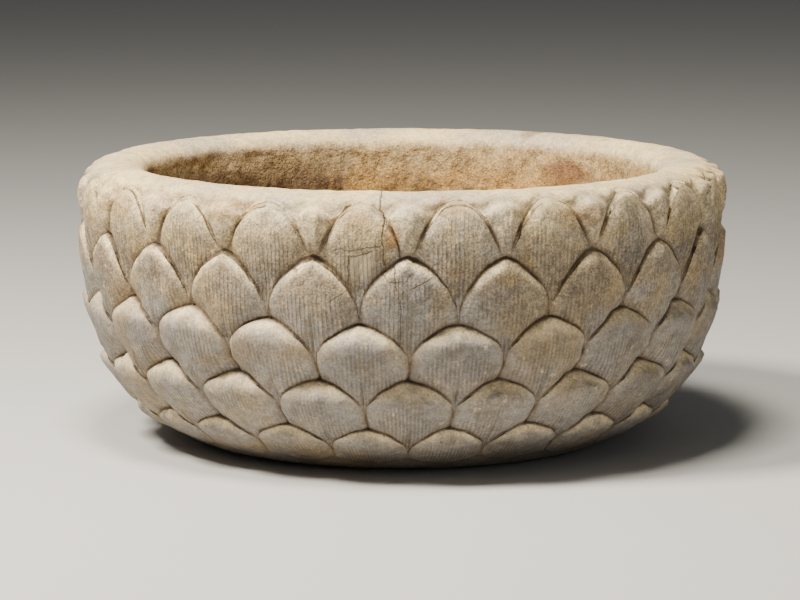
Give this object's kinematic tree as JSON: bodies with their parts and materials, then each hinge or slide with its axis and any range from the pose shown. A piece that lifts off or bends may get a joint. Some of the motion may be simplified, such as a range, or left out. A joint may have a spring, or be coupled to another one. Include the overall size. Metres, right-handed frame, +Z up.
{
  "type": "marble jardiniere",
  "caption": "Low round stone basin with a thick rounded rim, its outside carved with rows of overlapping lotus petals; it stands on its flat underside.",
  "frame": {"origin": "middle of the flat underside, on the surface the basin stands on", "axes": "+Z up through the middle of the opening; the side shown in the picture faces -Y, with +X to its right"},
  "size_m": [0.6151, 0.6178, 0.264],
  "materials": {
    "marble": "matte"
  },
  "bodies": {
    "root": {"basin": "marble"}
  },
  "joints": []
}
